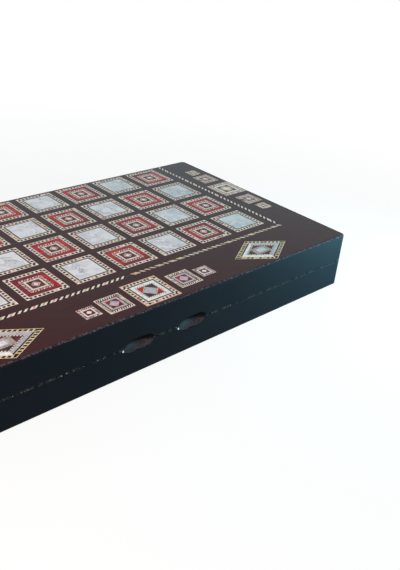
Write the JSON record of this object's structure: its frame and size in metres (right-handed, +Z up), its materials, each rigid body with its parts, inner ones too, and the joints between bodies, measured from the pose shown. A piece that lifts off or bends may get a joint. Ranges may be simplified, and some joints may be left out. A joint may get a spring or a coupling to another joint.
{
  "type": "folding backgammon board",
  "caption": "Folding wooden backgammon box with half a chess field in pearl and red marquetry on each outer face, finger notches at the front and brass hinges at the rear.",
  "frame": {"origin": "centre of the underside of the closed board, on the face it rests on", "axes": "+X along the hinge, to the right when the finger notches face the viewer; +Y towards the hinge at the rear; +Z up"},
  "size_m": [0.48, 0.2544, 0.0573],
  "materials": {
    "black_lacquer": "glossy lacquer on fibreboard and rails",
    "brown_veneer": "reddish brown veneer under satin lacquer",
    "banding": "cream and black marquetry strip under lacquer",
    "mother_of_pearl": "marbled pearl plates under lacquer",
    "red_mosaic": "red and cream mosaic plates under lacquer",
    "ornament_mosaic": "mosaic plates of cream, red and pearl under lacquer",
    "walnut_veneer": "satin walnut veneer",
    "maple_inlay": "satin maple veneer",
    "rosewood_inlay": "satin rosewood veneer",
    "brass": "polished brass, a little dull",
    "steel_pin": "drawn wire"
  },
  "bodies": {
    "lower_half": {"lower_panel": "black_lacquer", "lower_front_rail": "black_lacquer", "lower_hinge_rail": "black_lacquer", "lower_left_rail": "black_lacquer", "lower_right_rail": "black_lacquer", "lower_field_veneer": "brown_veneer", "lower_front_border": "brown_veneer", "lower_left_border": "brown_veneer", "lower_right_border": "brown_veneer", "lower_square_bandings": "banding", "lower_pearl_squares": "mother_of_pearl", "lower_red_squares": "red_mosaic", "lower_rope_border": "banding", "lower_front_ornaments": "ornament_mosaic", "lower_side_ornaments": "ornament_mosaic", "lower_corner_rhombuses": "ornament_mosaic", "lower_playing_sheet": "walnut_veneer", "lower_light_points": "maple_inlay", "lower_dark_points": "rosewood_inlay", "left_hinge_lower_leaf": "brass", "right_hinge_lower_leaf": "brass", "left_hinge_pin": "steel_pin", "right_hinge_pin": "steel_pin", "lower_hinge_screws": "brass"},
    "upper_half": {"upper_panel": "black_lacquer", "upper_front_rail": "black_lacquer", "upper_hinge_rail": "black_lacquer", "upper_left_rail": "black_lacquer", "upper_right_rail": "black_lacquer", "upper_field_veneer": "brown_veneer", "upper_front_border": "brown_veneer", "upper_left_border": "brown_veneer", "upper_right_border": "brown_veneer", "upper_square_bandings": "banding", "upper_pearl_squares": "mother_of_pearl", "upper_red_squares": "red_mosaic", "upper_rope_border": "banding", "upper_front_ornaments": "ornament_mosaic", "upper_side_ornaments": "ornament_mosaic", "upper_corner_rhombuses": "ornament_mosaic", "upper_playing_sheet": "walnut_veneer", "upper_light_points": "maple_inlay", "upper_dark_points": "rosewood_inlay", "left_hinge_upper_leaf": "brass", "right_hinge_upper_leaf": "brass", "upper_hinge_screws": "brass"}
  },
  "joints": [
    {"name": "fold_hinge", "type": "hinge", "parent": "lower_half", "child": "upper_half", "pos_m": [0, 0.12625, 0.02865], "axis": [-1, 0, 0], "range_deg": [0, 180]}
  ]
}
